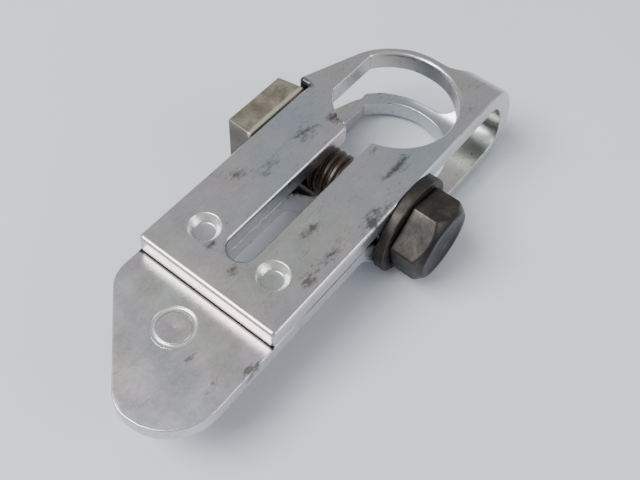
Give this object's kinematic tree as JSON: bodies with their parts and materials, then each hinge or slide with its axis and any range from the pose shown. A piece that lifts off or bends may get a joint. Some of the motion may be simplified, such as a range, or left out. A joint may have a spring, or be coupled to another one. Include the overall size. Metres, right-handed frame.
{
  "type": "pinch clamp bracket",
  "caption": "Folded sheet-steel pinch clamp: a D-shaped bore in both legs, a slot closed by a cross bolt and square nut, and a tongue with a pin.",
  "frame": {"origin": "on the axis of the D-shaped bore, level with the underside of the lower leg", "axes": "+Z along the bore axis from the lower leg to the upper one, +X towards the fold (the tongue is at -X), +Y from the bolt's head to its nut"},
  "size_m": [0.0792, 0.0372, 0.0159],
  "materials": {
    "zinc_plate": "bright zinc plate, faintly iridescent, scuffed",
    "pin_zinc": "bright zinc plate",
    "black_oxide": "brown-black oxide, oiled",
    "washer_oxide": "brown-black oxide, oiled",
    "phosphate": "brownish phosphate, satin"
  },
  "bodies": {
    "strap": {"clamp_strap": "zinc_plate", "tongue_pin": "pin_zinc"},
    "bolt": {"clamp_bolt": "black_oxide"},
    "washer": {"bolt_washer": "washer_oxide"},
    "nut": {"square_nut": "phosphate"}
  },
  "joints": [
    {"name": "bolt_turn", "type": "hinge", "parent": "strap", "child": "bolt", "pos_m": [-0.0134, 0, 0.00735], "axis": [0, -1, 0], "range_deg": [0, 720]},
    {"name": "washer_turn", "type": "hinge", "parent": "bolt", "child": "washer", "pos_m": [-0.0134, -0.01285, 0.00735], "axis": [0, -1, 0], "continuous": true},
    {"name": "nut_travel", "type": "slide", "parent": "strap", "child": "nut", "axis": [0, 1, 0], "range_m": [0, 0.00255]}
  ],
  "couplings": [
    {"joint": "nut_travel", "follows": "bolt_turn", "m_per_rad": 0.00019894}
  ]
}
